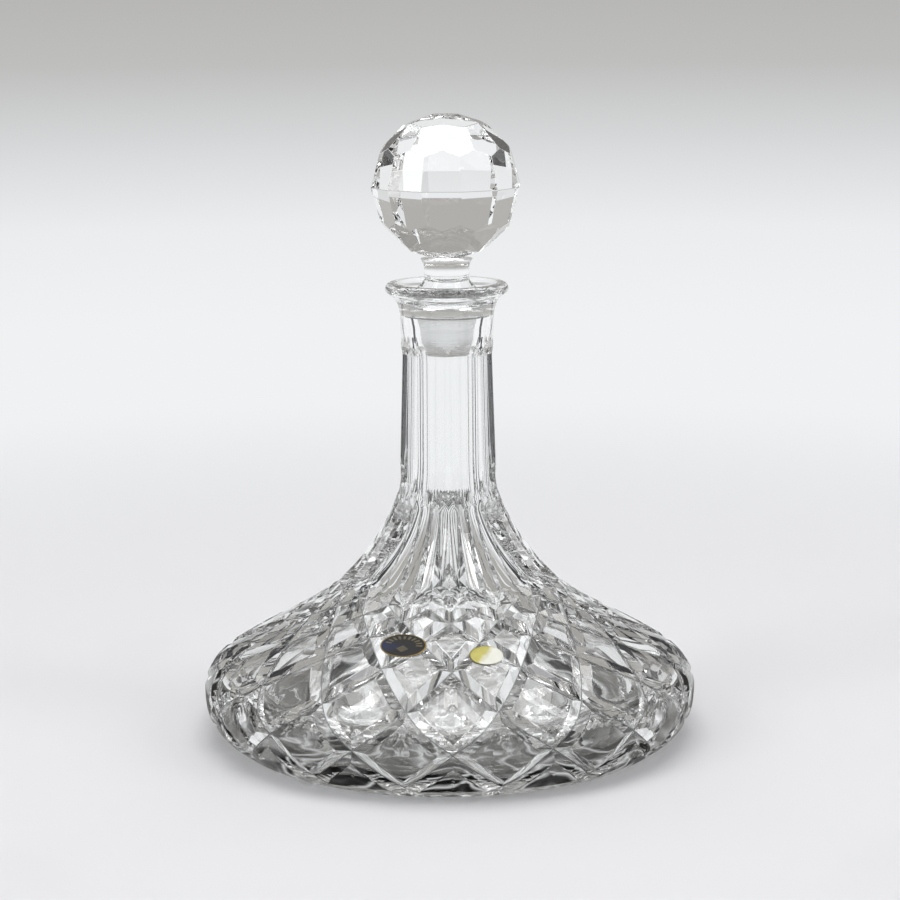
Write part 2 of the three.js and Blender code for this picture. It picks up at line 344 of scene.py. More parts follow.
# %% [markdown]
# Photographers set black cards round glass, because a clear edge only shows as a line when it
# bends the view towards something dark. Dark bands on the wall would do too, but they would show in
# the background. Four cards stand between the main directions of view instead. The camera doesn't
# see them and they throw no shadow, but the glass shows them as the dark bars of the neck.

# %% Dark cards
card_distance = 0.2
card_width = 0.04
card_bottom = 0.002
card_top = 0.14
card_azimuths = (45, 135, 225, 315)
card_tone = (0.03, 0.03, 0.033, 1)
card_material, card_paint = new_material("dark_card")
card_paint.set(Base_Color=card_tone, Roughness=0.9)


def dark_card(name, azimuth):
    along = Vector((math.cos(azimuth), math.sin(azimuth), 0)) * card_width / 2
    middle = Vector((-math.sin(azimuth), math.cos(azimuth), 0)) * card_distance
    left, right = middle - along, middle + along
    low, high = Vector((0, 0, card_bottom)), Vector((0, 0, card_top))
    data = bpy.data.meshes.new(name)
    data.from_pydata([left + low, right + low, right + high, left + high], [], [(0, 1, 2, 3)])
    data.materials.append(card_material)
    card = placed(name, data)
    card.visible_camera = False
    card.visible_diffuse = False
    card.visible_shadow = False
    return card


cards = [dark_card(f"dark_card_{i}", math.radians(azimuth))
         for i, azimuth in enumerate(card_azimuths)]
print("dark cards:", len(cards))

# %% [markdown]
# Large soft lamps give the plain light of a light tent: one overhead and one on either side. Small
# lamps would put hard white dots on every facet. The numbers are each lamp's place, its size and its
# power in watts.

# %% Soft lamps
lamp_aim = Vector((0, 0, 0.1))
lamps = {
    "overhead_box": ((0.0, 0.1, 1.6), (1.3, 1.3), 18),
    "left_box": ((-1.1, -0.6, 1.0), (0.5, 0.8), 5),
    "right_box": ((1.1, -0.4, 0.9), (0.4, 0.8), 4),
}


def soft_lamp(name, place, size, power):
    data = bpy.data.lights.new(name, "AREA")
    data.shape = "RECTANGLE"
    data.size, data.size_y = size
    data.energy = power
    lamp = placed(name, data)
    lamp.location = place
    lamp.rotation_euler = (lamp_aim - Vector(place)).to_track_quat("-Z", "Y").to_euler()


for name, (place, size, power) in lamps.items():
    soft_lamp(name, place, size, power)
print("lamps:", len(lamps))

# %% [markdown]
# The sky could light the whole scene, but even light from all sides flattens the foil, so it stays
# dim. Light bends many times inside cut glass. A ray that has used up its bounces turns black, so
# more are allowed here than Blender gives at first. The Standard view keeps white paper white.

# %% Dim sky and enough bounces
sky_colour = (0.5, 0.5, 0.52, 1)
sky_strength = 0.5
glass_bounces = 24
mirror_bounces = 16

world = bpy.data.worlds.new("dim_sky")
world.use_nodes = True
background = world.node_tree.nodes["Background"]
background.inputs["Color"].default_value = sky_colour
background.inputs["Strength"].default_value = sky_strength
scene.world = world

scene.view_settings.view_transform = "Standard"
scene.cycles.max_bounces = glass_bounces
scene.cycles.transmission_bounces = glass_bounces
scene.cycles.glossy_bounces = mirror_bounces
scene.cycles.caustics_refractive = True
print("bounces in the glass:", glass_bounces)

# %% [markdown]
# Lead crystal is clear, heavy and bends light more than window glass does. The Glass shader could
# make it, but the Principled shader with full transmission does the same. Acid polishing leaves the
# cuts bright but very slightly wavy, so the roughness and the bump change a little over the surface.
# The colour is almost white, with the faintest green-grey.

# %% Crystal
crystal_index = 1.545
crystal_tints = (0.965, 0.975, 0.97, 1), (0.99, 0.99, 0.995, 1)
tint_scale = 38.0
smear_scale = 160.0
smear_from = 0.6
smear_gain = 0.04
wave_scale = 70.0
wave_height = 0.012 * mm


def clear_through(glass):
    glass.shader.inputs["Transmission Weight"].default_value = 1.0
    glass.shader.inputs["IOR"].default_value = crystal_index


def make_crystal():
    material, glass = new_material("crystal")
    place = glass.place()
    drift = glass.noise(place, tint_scale, 1.0)
    smears = glass.noise(place, smear_scale, 4.0, 0.6)
    waves = glass.noise(place, wave_scale, 1.0)
    glass.set(
        Base_Color=glass.mix(drift, *crystal_tints),
        Roughness=((smears - smear_from) * smear_gain).clamped(),
        Normal=glass.bump(waves, wave_height))
    clear_through(glass)
    return material


crystal = make_crystal()
print("index of refraction:", crystal_index)

# %% [markdown]
# The plug of the stopper is ground with grit so that it seals in the neck. The grit leaves a satin
# surface: the same glass, but rough enough to scatter light. The plug turned while it was ground,
# so the satin has fine rings. A noise of one dimension, fed with the height alone, draws them.

# %% Ground glass
satin_tints = (0.74, 0.75, 0.76, 1), (0.97, 0.97, 0.97, 1)
satin_roughness = 0.16
satin_swing = 0.2
turning_scale = 420.0
grain_scale = 2600.0
grain_height = 0.02 * mm


def make_ground_glass():
    material, glass = new_material("ground_glass")
    place = glass.place()
    grain = glass.noise(place, grain_scale, 3.0, 0.7)
    split = glass.node("ShaderNodeSeparateXYZ", None, {0: place}).socket.node
    rings = glass.node("ShaderNodeTexNoise", {"noise_dimensions": "1D"}, {
        "W": Wire(glass, split.outputs[2]), "Scale": turning_scale, "Detail": 3.0})
    clearness = ((rings - 0.3) * 2.5).clamped()
    glass.set(
        Base_Color=glass.mix(clearness, *satin_tints),
        Roughness=satin_roughness + rings * satin_swing,
        Normal=glass.bump(grain, grain_height))
    clear_through(glass)
    return material


ground_glass = make_ground_glass()
print("satin finish:", ground_glass.name)

# %% [markdown]
# The polish hardly reaches the bottom of a V cut, so the bottom stays a little rough. The narrow
# valley also bends the light away, so each cut shows a fine line that looks dark against the bright
# faces. Here that dark line is painted shade. A dark colour painted by distance would need a texture
# laid along each cut. Instead the mesh has a narrow strip there, and the strip has this finish: the
# same glass, but gritty, and grey with painted shade.

# %% The bottom of a cut, a little rough, with painted shade
# The grey of these tints is painted shade for the dark line at the bottom of each cut.
painted_shade_tints = (0.16, 0.165, 0.17, 1), (0.42, 0.43, 0.44, 1)
line_roughness = 0.25
line_swing = 0.3
grit_scale = 900.0


# The grey tint is painted shade. The grit and the roughness are the dull glass itself.
def make_painted_cut_shade():
    material, glass = new_material("painted_cut_shade")
    grit = glass.noise(glass.place(), grit_scale, 3.0)
    glass.set(
        Base_Color=glass.mix(grit, *painted_shade_tints), Roughness=line_roughness + grit * line_swing)
    clear_through(glass)
    return material


painted_cut_shade = make_painted_cut_shade()
print("dull line finish:", painted_cut_shade.name)

# %% [markdown]
# A fine mesh of turned and cut glass is a stack of rings and a few patches. It could be cut with
# Boolean modifiers, but these leave long thin faces that ripple in glass. Here every face is laid
# one by one: loose corners are gathered first and welded at the end, so that each patch can be
# written on its own. Creases sharper than a set angle stay crisp, and all flatter ones are shaded
# smooth.

# %% Gathering a skin
crease = math.radians(8)
weld = 0.002


class Skin:
    def __init__(self):
        self.corners = []
        self.faces = []
        self.finishes = []

    def face(self, *points, finish=0):
        start = len(self.corners)
        self.corners.extend(points)
        self.faces.append(tuple(range(start, len(self.corners))))
        self.finishes.append(finish)

    def band(self, upper, lower, finish=0):
        for i in range(len(upper)):
            after = (i + 1) % len(upper)
            self.face(upper[i], lower[i], lower[after], upper[after], finish=finish)

    def fan(self, middle, ring, finish=0):
        for i in range(len(ring)):
            self.face(middle, ring[i], ring[(i + 1) % len(ring)], finish=finish)

    def mesh(self, name, materials):
        data = bpy.data.meshes.new(name)
        data.from_pydata([tuple(c * mm for c in corner) for corner in self.corners], [], self.faces)
        data.polygons.foreach_set("material_index", self.finishes)
        welded = bmesh.new()
        welded.from_mesh(data)
        bmesh.ops.remove_doubles(welded, verts=welded.verts, dist=weld * mm)
        bmesh.ops.dissolve_degenerate(welded, edges=welded.edges, dist=weld * mm)
        bmesh.ops.recalc_face_normals(welded, faces=welded.faces)
        open_edges = sum(1 for edge in welded.edges if not edge.is_manifold)
        welded.to_mesh(data)
        welded.free()
        for material in materials:
            data.materials.append(material)
        data.shade_smooth()
        data.set_sharp_from_angle(angle=crease)
        print(name, "faces:", len(data.polygons), "open edges:", open_edges)
        return data


# %% [markdown]
# Each outline here is a handful of real radii and heights. Blender's own curve objects could hold
# them, but three small functions do all that is needed. One mixes two points, one rounds the corners
# of a broken line, and one lays a Bezier curve. A rounding takes at most a little less than half of
# a side, so that two of them never meet.

# %% Curves for outlines
rounding_steps = 5
side_share = 2.1


def blend(first, second, share):
    return tuple(a + (b - a) * share for a, b in zip(first, second))


def rounded(points, rounding):
    outline = [points[0]]
    for before, corner, after in zip(points, points[1:], points[2:]):
        sides = math.dist(before, corner), math.dist(corner, after)
        reach = min(rounding, sides[0] / side_share, sides[1] / side_share)
        start = blend(corner, before, reach / sides[0])
        end = blend(corner, after, reach / sides[1])
        for i in range(rounding_steps + 1):
            t = i / rounding_steps
            outline.append(blend(blend(start, corner, t), blend(corner, end, t), t))
    return outline + [points[-1]]


def bezier(start, first, second, end, steps):
    points = []
    for i in range(steps + 1):
        t = i / steps
        weights = ((1 - t) ** 3, 3 * t * (1 - t) ** 2, 3 * t * t * (1 - t), t ** 3)
        pulls = list(zip(weights, (start, first, second, end)))
        points.append(tuple(sum(w * p[axis] for w, p in pulls) for axis in (0, 1)))
    return points


print("a bend of 2 by 2 mm, half way:", bezier((0, 0), (0, 1), (1, 2), (2, 2), 2)[1])

# %% [markdown]
# The outline of the uncut body runs from the foot over a full, low belly, up a long falling
# shoulder into the neck, and out to the lip. A Spin or Screw modifier could turn a drawn curve.
# Here the outline is a few radii and heights with Bezier curves between them, because the cuts need
# the radius at any height. The height of the whole comes from the frame.

# %% Outline of the body
body_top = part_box("decanter_body")[1][2] / mm
body_radius = 97.5
belly_height = 19.3
belly_drop = 8
belly_turn = 10.2
foot_radius = 87
foot_rise = 6
foot_fullness = 0.9
shoulder = (60, 48)
shoulder_fall = math.radians(30.4)
shoulder_reach = 30
shoulder_sweep = 37.7
fall = (-math.cos(shoulder_fall), math.sin(shoulder_fall))
neck_foot = (18.65, 101.8)
neck_foot_ease = 5
neck_waist_radius = 17.1
neck_waist_rise = 11
neck_waist_drop = 22
neck_top = (18.2, 162)
lip_radius = 24
lip_edge = 2.2
lip_ease = 7
lip_underside = math.radians(-60)
fine = 160
lip_steps = fine // 4


def along_fall(point, distance):
    return (point[0] + fall[0] * distance, point[1] + fall[1] * distance)


def body_outline():
    belly = (body_radius, belly_height)
    outline = bezier((foot_radius, 0), (body_radius - foot_fullness, foot_rise),
                     (body_radius, belly_height - belly_drop), belly, fine)
    outline += bezier(belly, (body_radius, belly_height + belly_turn),
                      along_fall(shoulder, -shoulder_reach), shoulder, fine)[1:]
    outline += bezier(shoulder, along_fall(shoulder, shoulder_sweep),
                      (neck_foot[0], neck_foot[1] - neck_foot_ease), neck_foot, fine)[1:]
    outline += bezier(neck_foot, (neck_foot[0], neck_foot[1] + neck_waist_rise),
                      (neck_waist_radius, neck_top[1] - neck_waist_drop), neck_top, fine)[1:]
    middle = (lip_radius - lip_edge, body_top - lip_edge)
    outward = (math.cos(lip_underside), math.sin(lip_underside))
    start = (middle[0] + outward[0] * lip_edge, middle[1] + outward[1] * lip_edge)
    under = (start[0] + outward[1] * 2 * lip_edge, start[1] - outward[0] * 2 * lip_edge)
    outline += bezier(neck_top, (neck_top[0], neck_top[1] + lip_ease), under, start, fine)[1:]
    for i in range(1, lip_steps + 1):
        angle = lip_underside + (math.pi / 2 - lip_underside) * i / lip_steps
        outline.append(
            (middle[0] + lip_edge * math.cos(angle), middle[1] + lip_edge * math.sin(angle)))
    return outline


outline = body_outline()
heights = [point[1] for point in outline]
print("body outline:", len(outline), "points, widest", round(max(p[0] for p in outline), 2), "mm")

# %% [markdown]
# The cuts go down from the uncut surface. A ray cast at a mesh could find it, but reading the
# outline is exact and quick: the radius is read between the two nearest outline points, and the
# facing comes from the slope over a short span. A place on the body is then a height, a depth under
# the surface, and a number of half pitches round from the front.

# %% Radius and facing at a height
slope_span = 0.4
tiny = 1e-9
grooves = 16
half_pitch = math.pi / grooves


def radius_at(height):
    i = min(max(bisect_left(heights, height), 1), len(outline) - 1)
    low, high = outline[i - 1], outline[i]
    share = min(max((height - low[1]) / max(high[1] - low[1], tiny), 0), 1)
    return low[0] + (high[0] - low[0]) * share


def facing_at(height):
    low, high = max(height - slope_span, 0), min(height + slope_span, body_top)
    rise = Vector((radius_at(high) - radius_at(low), high - low)).normalized()
    return rise.y, -rise.x


def round_point(step, radius, height):
    angle = step * half_pitch
    return (radius * math.sin(angle), -radius * math.cos(angle), height)


def skin_point(step, height, depth):
    out, up = facing_at(height)
    return round_point(step, radius_at(height) - depth * out, height - depth * up)


print("radius at the shoulder:", round(radius_at(shoulder[1]), 2), "mm")

# %% [markdown]
# The diamonds are V cuts that run round the body both ways and cross on seven rows. Between the
# cuts each diamond keeps a smooth land of the first surface. A bump map could fake the cuts, but
# glass shows their real slopes. So each diamond is one land and four long groove faces, all laid on
# the body's curve. The rows crowd together towards the neck, and a smooth curve through their
# heights gives every place between two rows.

# %% Rows of crossings
row_heights = [60.1, 56, 50.4, 43, 32.6, 18.5, 3.2]
last_row = len(row_heights) - 1
groove_half_width = 3.9
groove_depth = 1.5
widest_cut = 0.8


def height_at(row):
    row = min(max(row, 0), last_row)
    i = min(int(row), last_row - 1)
    t = row - i
    before = row_heights[i - 1] if i > 0 else 2 * row_heights[0] - row_heights[1]
    after = row_heights[i + 2] if i + 2 <= last_row else 2 * row_heights[-1] - row_heights[-2]
    here, there = row_heights[i], row_heights[i + 1]
    return here + 0.5 * t * (there - before + t * (
        2 * before - 5 * here + 4 * there - after + t * (3 * (here - there) + after - before)))


def inset(row):
    above = min(max(row - 0.5, 0), last_row - 1)
    top, bottom = height_at(above), height_at(above + 1)
    down = math.hypot(radius_at(top) - radius_at(bottom), top - bottom)
    across = radius_at(height_at(row)) * half_pitch
    return min(groove_half_width * math.hypot(across, down) / (across * down), widest_cut)


print("share of a diamond that is cut, row by row:",
      [round(inset(row), 2) for row in range(last_row + 1)])

# %% [markdown]
# Seen close, a cut isn't a plain V. Polishing rounds its upper edge into a narrow chamfer, and its
# bottom is a narrow strip that stays a little rough and takes the finish with painted shade. The
# profile below gives both, as pairs of how far across and how far down. The chamfer is what doubles
# the bright line along each diamond.

# %% One diamond: a land and the faces of its grooves
steps_along = 7
steps_inward = 5
groove_profile = [(0, 0), (0.09, 0.045), (0.95, 0.975), (1, 1)]
steps_across = len(groove_profile) - 1


def diamond(skin, step, row):
    cuts = [inset(max(row - 1, 0)), inset(row), inset(min(row + 1, last_row)), inset(row)]
    ways = [(0, -1), (-1, 0), (0, 1), (1, 0)]

    def place(spot, depth):
        return skin_point(step + spot[0], height_at(row + spot[1]), depth)

    for side in range(4):
        lower = side in (1, 2)
        if (row == 0 and not lower) or (row == last_row and lower):
            continue
        after = (side + 1) % 4
        tips = ways[side], ways[after]
        corners = [(way[0] * (1 - cut), way[1] * (1 - cut))
                   for way, cut in ((ways[side], cuts[side]), (ways[after], cuts[after]))]

        def land(out, along):
            return place(blend((0, 0), blend(*corners, along), out), 0)

        def groove(stop, along):
            out, down = groove_profile[stop]
            spot = blend(blend(*corners, along), blend(*tips, along), out)
            return place(spot, groove_depth * down)

        for i in range(steps_along):
            here, there = i / steps_along, (i + 1) / steps_along
            skin.face(land(0, 0), land(1 / steps_inward, here), land(1 / steps_inward, there))
            for j in range(1, steps_inward):
                near, beyond = j / steps_inward, (j + 1) / steps_inward
                skin.face(
                    land(near, here), land(beyond, here), land(beyond, there), land(near, there))
            # The last strip, at the bottom of each groove, gets the finish with painted shade.
            for j in range(steps_across):
                skin.face(
                    groove(j, here), groove(j + 1, here), groove(j + 1, there), groove(j, there),
                    finish=int(j == steps_across - 1))


print("faces in a whole diamond:", 4 * steps_along * (steps_inward + steps_across))

# %% [markdown]
# Above the diamonds the body is a stack of rings. They could have any number of points, but here
# they have as many as the upper edge of the diamonds, so that the two weld without a gap. That edge
# isn't level: it dips into each cut.

# %% Rings that fit the diamonds
ring_cell = 2 * (steps_inward + steps_across)
ring_count = grooves * ring_cell


def ring(make):
    return [make(1 + 2 * i / ring_cell) for i in range(ring_count)]


def plain_ring(radius, height):
    return ring(lambda step: round_point(step, radius, height))


def belt_edge(row):
    cut = inset(row)
    height = height_at(row)

    def edge(i):
        cell, place = divmod(i, ring_cell)
        side = min(place, ring_cell - place)
        if side <= steps_across:
            out, down = groove_profile[steps_across - side]
            offset = cut * (1 - out)
            depth = groove_depth * down
        else:
            offset = cut + (1 - cut) * (side - steps_across) / steps_inward
            depth = 0
        if place > ring_cell / 2:
            offset = 2 - offset
        return skin_point(1 + 2 * cell + offset, height, depth)

    return [edge(i) for i in range(ring_count)]


print("points in a ring:", ring_count)

# %% [markdown]
# The neck has eight flats. The wheel that grinds them leaves a rounded end at the top and at the
# bottom, and they meet in sharp arrises. Flats could be sliced off, as they are on the ball below.
# A ring can do it alone: each of its points lies on the turned neck or on a flat, whichever is
# nearer to the middle. Between its ends the turned neck is let out a little, so that the flats meet.

# %% Flats of the neck
panel_count = 8
panel_drop = 12
panel_top = neck_top[1] - panel_drop
panel_bottom = neck_foot[1]
panel_reach_top = 16.1
panel_reach_bottom = 17.5
panel_wheel = 12
panel_turn = 2 * math.pi / panel_count
arris_reach = 1.0
arris_ease = 8


def panel_reach(height):
    share = min(max((height - panel_bottom) / (panel_top - panel_bottom), 0), 1)
    past = max(height - panel_top, panel_bottom - height, 0)
    flat = panel_reach_bottom + (panel_reach_top - panel_reach_bottom) * share
    return flat + past * past / (2 * panel_wheel)


def panel_radius(step, height):
    angle = step * half_pitch
    off = angle - (math.floor(angle / panel_turn + tiny) + 0.5) * panel_turn
    return panel_reach(height) / math.cos(off)


def neck_ring(height):
    from_ends = min(height - panel_bottom, panel_top - height)
    spare = arris_reach * min(max(from_ends / arris_ease, 0), 1)
    widest = radius_at(height) + spare
    return ring(lambda step: round_point(step, min(widest, panel_radius(step, height)), height))


print("arrises of the neck, at the top:",
      round(panel_reach_top / math.cos(panel_turn / 2), 2), "mm from the middle")

# %% [markdown]
# Thirty-two V flutes climb the shoulder, one from each crossing and one from each diamond of the
# upper row, and run out to nothing under the neck. Their ridges stay on the turned surface. A
# texture of lines would be quicker, but the flutes are deep enough to show on the outline.

# %% Flutes of the shoulder
flute_run_out = 3.4
flute_top = neck_foot[1] - flute_run_out
flute_depth_share = 0.36
flute_swell = 2.2
flute_rings = 44
flute_blend = 5 / flute_rings


def flute_ring(share):
    height = row_heights[0] + (flute_top - row_heights[0]) * share
    swell = min(1, flute_swell * math.sin(math.pi * share))
    depth = flute_depth_share * radius_at(height) * half_pitch * swell

    def point(step):
        from_valley = abs(step - round(step))
        valley = skin_point(round(step), height, depth)
        ridge = skin_point(math.floor(step) + 0.5, height, 0)
        x, y, z = blend(valley, ridge, 2 * from_valley)
        keep = min(1, panel_radius(step, z) / math.hypot(x, y))
        return (x * keep, y * keep, z)

    return ring(point)


print("flutes:", 2 * grooves)

# %% [markdown]
# Inside, the body is blown: a wide room with a flat floor, drawn up into a straight bore. A Solidify
# modifier would make every wall alike, while the real room has its own simpler outline. So it gets
# Bezier curves of its own, which keep to the wall's thickness on the shoulder.

# %% The room inside
wall = 10
floor_thickness = 5
floor_radius = 72
floor_fullness = 4
floor_rise = 3
room_turn = 5.1
room_neck_rise = 6.2
room_ease = 26
room_steps = 18
throat_steps = 26
bore_radius = 10


def room_outline():
    inward = (-fall[1], fall[0])
    inner = (shoulder[0] + inward[0] * wall, shoulder[1] + inward[1] * wall)
    belly = body_radius - wall
    bore_foot = neck_foot[1] + room_neck_rise
    points = bezier((floor_radius, floor_thickness),
                    ((floor_radius + belly) / 2 + floor_fullness, floor_thickness),
                    (belly, floor_thickness + floor_rise), (belly, belly_height), room_steps)
    points += bezier((belly, belly_height), (belly, belly_height + room_turn),
                     along_fall(inner, -shoulder_reach), inner, room_steps)[1:]
    points += bezier(inner, along_fall(inner, shoulder_sweep), (bore_radius, bore_foot - room_ease),
                     (bore_radius, bore_foot), throat_steps)[1:]
    return points


print("room inside:", len(room_outline()), "points")

# %% [markdown]
# Blown glass is never quite true, and a perfect inner wall would mirror the cuts too neatly. A
# Displace modifier with a cloud texture could bend it. Here Blender's own noise moves each point by
# up to a third of a millimetre, but hardly at all in the bore and the socket, where the plug fits.

# %% A wall that wanders
wander = 0.35
wander_size = 26
wander_ease = 30
wander_lift = 0.4


def wandering(point):
    spot = Vector(point) / wander_size
    shift = noise.noise(spot)
    radius = math.hypot(point[0], point[1])
    ease = min(max((radius - bore_radius) / wander_ease, 0), 1)
    scale = 1 + wander * shift * ease / max(radius, 1)
    return (point[0] * scale, point[1] * scale, point[2] + wander_lift * wander * shift * ease)


print("a point of the belly moves to", [round(v, 3) for v in wandering((80, 0, belly_height))])

# %% [markdown]
# The plug of the stopper fits a socket that was ground with it. So one list of radii and heights
# serves both: the plug as it is, and the socket wider by a small gap all round. Above it the mouth
# flares out to the lip.

# %% The socket for the stopper
mouth_radius = 19.5
seat_gap = 0.3
plug_end = (bore_radius - seat_gap, body_top - 27.1)
plug_waist = (plug_end[0] + 0.9, body_top - 19.5)
plug_top = (plug_end[0] + 2.3, body_top - 12.4)
collar_foot = (14.1, body_top - 11.8)
collar_top = (14.1, body_top - 4.9)


def socket_outline(gap):
    points = [(plug_end[0] + gap, plug_end[1])]
    for radius, height in (plug_waist, plug_top, collar_foot, collar_top):
        points.append((radius + gap, height - gap))
    return points


print("socket:", len(socket_outline(seat_gap)), "points")

# %% [markdown]
# From the lip down, the outside is a stack of rings: first the rolled lip, then the neck with its
# flats, then the flutes. They could all be evenly spaced, but the rings stand close where the
# outline turns fast, at the lip and where the flats run out. The last rings of the flutes ease into
# the edge of the diamonds, so that the two fit point by point.

# %% Rings of the outside
lip_rings = 22
panel_rings = 10
run_out_rings = 12
join_rings = 4


def outside_rings():
    rings = [plain_ring(lip_radius - lip_edge, body_top)]
    rise = body_top - neck_top[1]
    for i in range(lip_rings - 1, 0, -1):
        height = neck_top[1] + rise * math.sin(math.pi / 2 * i / lip_rings)
        rings.append(plain_ring(radius_at(height), height))
    for i in range(run_out_rings):
        rings.append(neck_ring(neck_top[1] + (panel_top - neck_top[1]) * i / run_out_rings))
    for i in range(panel_rings):
        rings.append(neck_ring(panel_top + (panel_bottom - panel_top) * i / panel_rings))
    for i in range(join_rings):
        rings.append(neck_ring(panel_bottom + (flute_top - panel_bottom) * i / join_rings))
    edge = belt_edge(0)
    low_flute = flute_ring(flute_blend)
    for i in range(flute_rings, 0, -1):
        share = i / flute_rings
        if share > flute_blend:
            rings.append(flute_ring(share))
        else:
            rings.append([blend(a, b, share / flute_blend) for a, b in zip(edge, low_flute)])
    rings.append(edge)
    return rings


outside = outside_rings()
print("rings from the lip to the diamonds:", len(outside))

# %% [markdown]
# The decanter stands on a flat ground ring, and the glass inside the ring is ground a little hollow,
# so that it can't rock. A star of shallow cuts fills the hollow and sparkles through the lowest
# diamonds. It could be cut out with wedges, one by one. Here the rings under the foot just rise and
# fall with each point of the star.

# %% Rings of the underside
stand_width = 13
hollow_depth = 1.2
star_margin = 8
star_depth = 1.4
star_hub = 9


def star_ring(radius, cut):
    def point(step):
        valley = 1 - 2 * abs(step - round(step))
        return round_point(step, radius, hollow_depth + cut * valley)

    return ring(point)


def underside_rings():
    stand = foot_radius - stand_width
    star_radius = stand - star_margin
    return [
        belt_edge(last_row), plain_ring(foot_radius, 0), plain_ring(stand, 0),
        star_ring(star_radius, 0), star_ring((star_radius + star_hub) / 2, star_depth),
        star_ring(star_hub, star_depth / 2)]


base = underside_rings()
print("rings under the foot:", len(base))

# %% [markdown]
# The inside is laid in the same way, from the mouth down to the middle of the floor. Its straight
# stretches get rings in between, because quads that are far longer than they are wide bend the
# light unevenly. A subdivision modifier would add them everywhere, also where nothing needs them.

# %% Rings of the inside
floor_shares = (0.85, 0.7, 0.5, 0.3, 0.12)
socket_step = 3.0
bore_step = 4.0


def refined(points, longest):
    fine_points = [points[0]]
    for start, end in zip(points, points[1:]):
        pieces = max(1, math.ceil(math.dist(start, end) / longest))
        fine_points += [blend(start, end, i / pieces) for i in range(1, pieces + 1)]
    return fine_points


def inside_rings():
    room = room_outline()[::-1]
    profile = [(mouth_radius, body_top), *reversed(socket_outline(seat_gap))]
    profile.append((bore_radius, plug_end[1] - 2 * seat_gap))
    profile = refined(profile, socket_step)
    profile += refined([profile[-1], room[0]], bore_step)[1:]
    profile += room[1:] + [(floor_radius * share, floor_thickness) for share in floor_shares]
    return [[wandering(p) for p in plain_ring(*spot)] for spot in profile]


inside = inside_rings()
print("rings of the inside:", len(inside))

# %% [markdown]
# Now the body is put together: the rings of the outside, the diamonds one by one, the underside, and
# the inside back up to the lip. Two separate surfaces would look the same in clay. In glass they
# must be one closed skin, because light is bent by the side that a face turns outwards, and with an
# open edge the body would look filled with water.

# %% The whole body as one skin
def body_skin():
    skin = Skin()
    for upper, lower in zip(outside, outside[1:]):
        skin.band(upper, lower)
    for row in range(last_row + 1):
        for i in range(grooves):
            diamond(skin, 2 * i + row % 2, row)
    for upper, lower in zip(base, base[1:]):
        skin.band(upper, lower)
    skin.fan((0, 0, hollow_depth + star_depth), base[-1])
    skin.band(outside[0], inside[0])
    for upper, lower in zip(inside, inside[1:]):
        skin.band(upper, lower)
    skin.fan((0, 0, floor_thickness), inside[-1])
    return skin


# The body's second finish is the painted shade at the bottom of the cuts.
body = placed("cut_body", body_skin().mesh("cut_body", [crystal, painted_cut_shade]))
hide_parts("decanter_body")
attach(body, "decanter")

# %% [markdown]
# The stopper is one piece of glass: a satin plug, a collar that sits in the mouth, a short shank,
# and a ball with flats ground all over it. A low icosphere has flats too, but all in one pattern of
# triangles. The real flats are ground in rows. So the ball starts as a block, and each flat slices
# a corner off. A belt of flats is a tilt in degrees, a count, and a turn in parts of one flat. The
# edges get a hair of bevel, as polishing gives the real ones.

# %% The faceted ball
facet_reach = 27.5
facet_belts = ((15, 12, 0), (44, 12, 0.5), (70, 6, 0))
facet_rows = [(90, 1, 0), (-90, 1, 0)]
facet_rows += [(tilt * side, count, turn) for tilt, count, turn in facet_belts for side in (1, -1)]
ball_turn = math.radians(-4)
block_size = 3 * facet_reach
slice_reach = 1e-7
edge_bevel = 0.12
shank_foot = (8.8, body_top + 1.1)
shank_length = 7.2
ball_seat = 1.4
ball_height = shank_foot[1] + shank_length + ball_seat + facet_reach


def faceted_ball():
    ball = bmesh.new()
    bmesh.ops.create_cube(ball, size=block_size * mm)
    for tilt, count, turn in facet_rows:
        for i in range(count):
            angle = (i + turn) * 2 * math.pi / count + ball_turn
            tip = math.radians(tilt)
            out = Vector(
                (math.cos(tip) * math.cos(angle), math.cos(tip) * math.sin(angle), math.sin(tip)))
            cut = bmesh.ops.bisect_plane(
                ball, geom=ball.verts[:] + ball.edges[:] + ball.faces[:], dist=slice_reach,
                plane_co=out * facet_reach * mm, plane_no=out, clear_outer=True)
            rim = [part for part in cut["geom_cut"] if isinstance(part, bmesh.types.BMEdge)]
            bmesh.ops.contextual_create(ball, geom=rim)
    bmesh.ops.bevel(ball, geom=ball.edges[:], offset=edge_bevel * mm, segments=1, affect="EDGES")
    bmesh.ops.translate(ball, verts=ball.verts, vec=(0, 0, ball_height * mm))
    bmesh.ops.recalc_face_normals(ball, faces=ball.faces)
    data = bpy.data.meshes.new("ball")
    ball.to_mesh(data)
    ball.free()
    data.materials.append(crystal)
    data.materials.append(ground_glass)
    return data


print("flats on the ball:", sum(count for _, count, _ in facet_rows))

# %% [markdown]
# The stem is turned. A Screw modifier could make it from a drawn line, but rings of the same kind as
# the body's let each band choose its finish. The plug is satin, apart from its polished lower edge,
# which shows as a thin line, and the collar and the shank are clear.

# %% The turned stem of the stopper
plug_hub = 0.2
plug_rounding = 0.6
collar_rounding = 0.9
stem_step = 2.5
polished_edge = 0.7
satin_margin = 0.1
flare_length = 3.6
flare = [(0, 0), (0, 2), (0.4, 3), (1.3, 4.6)]
flare_steps = 8


def stem_outline():
    flare_foot = (shank_foot[0], shank_foot[1] + shank_length - flare_length)
    plug = rounded([(plug_hub, plug_end[1]), plug_end, plug_waist, plug_top], plug_rounding)
    waist = rounded(
        [plug_waist, plug_top, collar_foot, collar_top, shank_foot, flare_foot], collar_rounding)
    outline = refined(plug[:-1] + waist[1:], stem_step)
    spots = [(flare_foot[0] + out, flare_foot[1] + up) for out, up in flare]
    return outline + bezier(*spots, flare_steps)


